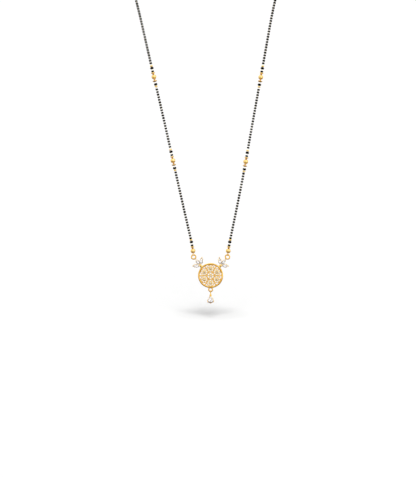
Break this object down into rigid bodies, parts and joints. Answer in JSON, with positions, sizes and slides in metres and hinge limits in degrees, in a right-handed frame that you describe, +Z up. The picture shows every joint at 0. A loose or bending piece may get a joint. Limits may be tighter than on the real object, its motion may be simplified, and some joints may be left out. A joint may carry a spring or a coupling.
{
  "type": "mangalsutra",
  "caption": "Long necklace of small black beads with gold stations, a pierced round pendant with leaf-shaped stones and a pear drop.",
  "frame": {"origin": "the nape of the neck, on the side of the clasp that rests on the skin", "axes": "+Z up, the wearer faces -Y, +X to the wearer's left"},
  "size_m": [0.1041, 0.1164, 0.2296],
  "materials": {
    "gold": "polished gold plating",
    "white_stone": "cut and polished clear stone",
    "black_bead": "glossy black glass",
    "thread": "twisted cream thread"
  },
  "bodies": {
    "necklace": {"pendant_frame": "gold", "centre_stone": "white_stone", "rosette_stone_1": "white_stone", "rosette_stone_2": "white_stone", "rosette_stone_3": "white_stone", "rosette_stone_4": "white_stone", "rosette_stone_5": "white_stone", "rosette_stone_6": "white_stone", "leaf_stone_left_upper": "white_stone", "leaf_stone_left_middle": "white_stone", "leaf_stone_left_lower": "white_stone", "leaf_stone_right_upper": "white_stone", "leaf_stone_right_middle": "white_stone", "leaf_stone_right_lower": "white_stone", "jump_ring_left": "gold", "jump_ring_right": "gold", "end_loop_left": "gold", "end_loop_right": "gold", "gold_ball_left_1": "gold", "gold_ball_left_2": "gold", "gold_ball_left_3": "gold", "gold_ball_right_1": "gold", "gold_ball_right_2": "gold", "gold_ball_right_3": "gold", "gold_flange_left_1": "gold", "gold_flange_left_2": "gold", "gold_flange_left_3": "gold", "gold_flange_left_4": "gold", "gold_flange_left_5": "gold", "gold_flange_right_1": "gold", "gold_flange_right_2": "gold", "gold_flange_right_3": "gold", "gold_flange_right_4": "gold", "gold_flange_right_5": "gold", "gold_seeds_left": "gold", "gold_seeds_right": "gold", "black_rondelles_left": "black_bead", "black_rondelles_right": "black_bead", "bead_string_left": "black_bead", "bead_string_right": "black_bead", "clasp": "gold"},
    "drop": {"drop_setting": "gold", "drop_stone": "white_stone"}
  },
  "joints": [
    {"name": "drop_swing", "type": "hinge", "parent": "necklace", "child": "drop", "pos_m": [0.003, -0.112, -0.2211], "axis": [1, 0, 0], "range_deg": [-120, 120]}
  ]
}
